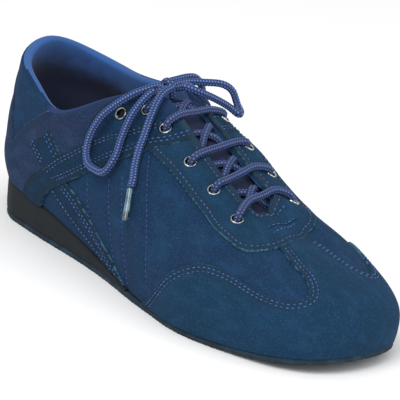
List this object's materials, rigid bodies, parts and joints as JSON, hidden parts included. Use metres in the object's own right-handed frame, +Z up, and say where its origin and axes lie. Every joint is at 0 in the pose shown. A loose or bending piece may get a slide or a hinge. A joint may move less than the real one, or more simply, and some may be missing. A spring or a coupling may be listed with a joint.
{
  "type": "dance shoe",
  "caption": "Low lace-up suede dance shoe with a thin flexible outsole, a low black wedge, crossing side straps, a toe cap and a padded collar, tied in a bow.",
  "frame": {"origin": "on the floor plane under the shoe, on the centre plane at the shank, 133 mm ahead of the back of the heel", "axes": "+X towards the toe, +Y towards the inner side of the foot, +Z up from the floor"},
  "size_m": [0.2554, 0.0915, 0.085],
  "materials": {
    "suede": "navy suede, napped",
    "nubuck": "violet-blue nubuck, napped",
    "wedge_foam": "matte black moulded foam",
    "sole_suede": "black split suede",
    "lining": "blue knitted lining",
    "eyelet_metal": "plated, satin",
    "lace": "braided navy cord",
    "aglet": "clear film, gloss"
  },
  "bodies": {
    "root": {"outsole": "sole_suede", "wedge": "wedge_foam", "insole": "lining", "upper": "suede", "tongue": "suede", "eyestay": "suede", "toe_cap": "suede", "heel_counter": "nubuck", "backstay": "nubuck", "diagonal_strap_lateral": "suede", "diagonal_strap_medial": "suede", "cross_strap_top_lateral": "suede", "cross_strap_top_medial": "suede", "cross_strap_low_lateral": "suede", "cross_strap_low_medial": "suede", "eyelet_lateral_1": "eyelet_metal", "eyelet_lateral_2": "eyelet_metal", "eyelet_lateral_3": "eyelet_metal", "eyelet_lateral_4": "eyelet_metal", "eyelet_lateral_5": "eyelet_metal", "eyelet_lateral_6": "eyelet_metal", "eyelet_medial_1": "eyelet_metal", "eyelet_medial_2": "eyelet_metal", "eyelet_medial_3": "eyelet_metal", "eyelet_medial_4": "eyelet_metal", "eyelet_medial_5": "eyelet_metal", "eyelet_medial_6": "eyelet_metal", "lace_bar_1": "lace", "lace_bar_2": "lace", "lace_bar_3": "lace", "lace_bar_4": "lace", "lace_cross_1": "lace", "lace_cross_2": "lace", "lace_cross_3": "lace", "lace_cross_4": "lace", "lace_knot": "lace", "lace_loop_lateral": "lace", "lace_loop_medial": "lace", "lace_end_lateral": "lace", "lace_end_medial": "lace", "aglet_lateral": "aglet", "aglet_medial": "aglet"}
  },
  "joints": []
}
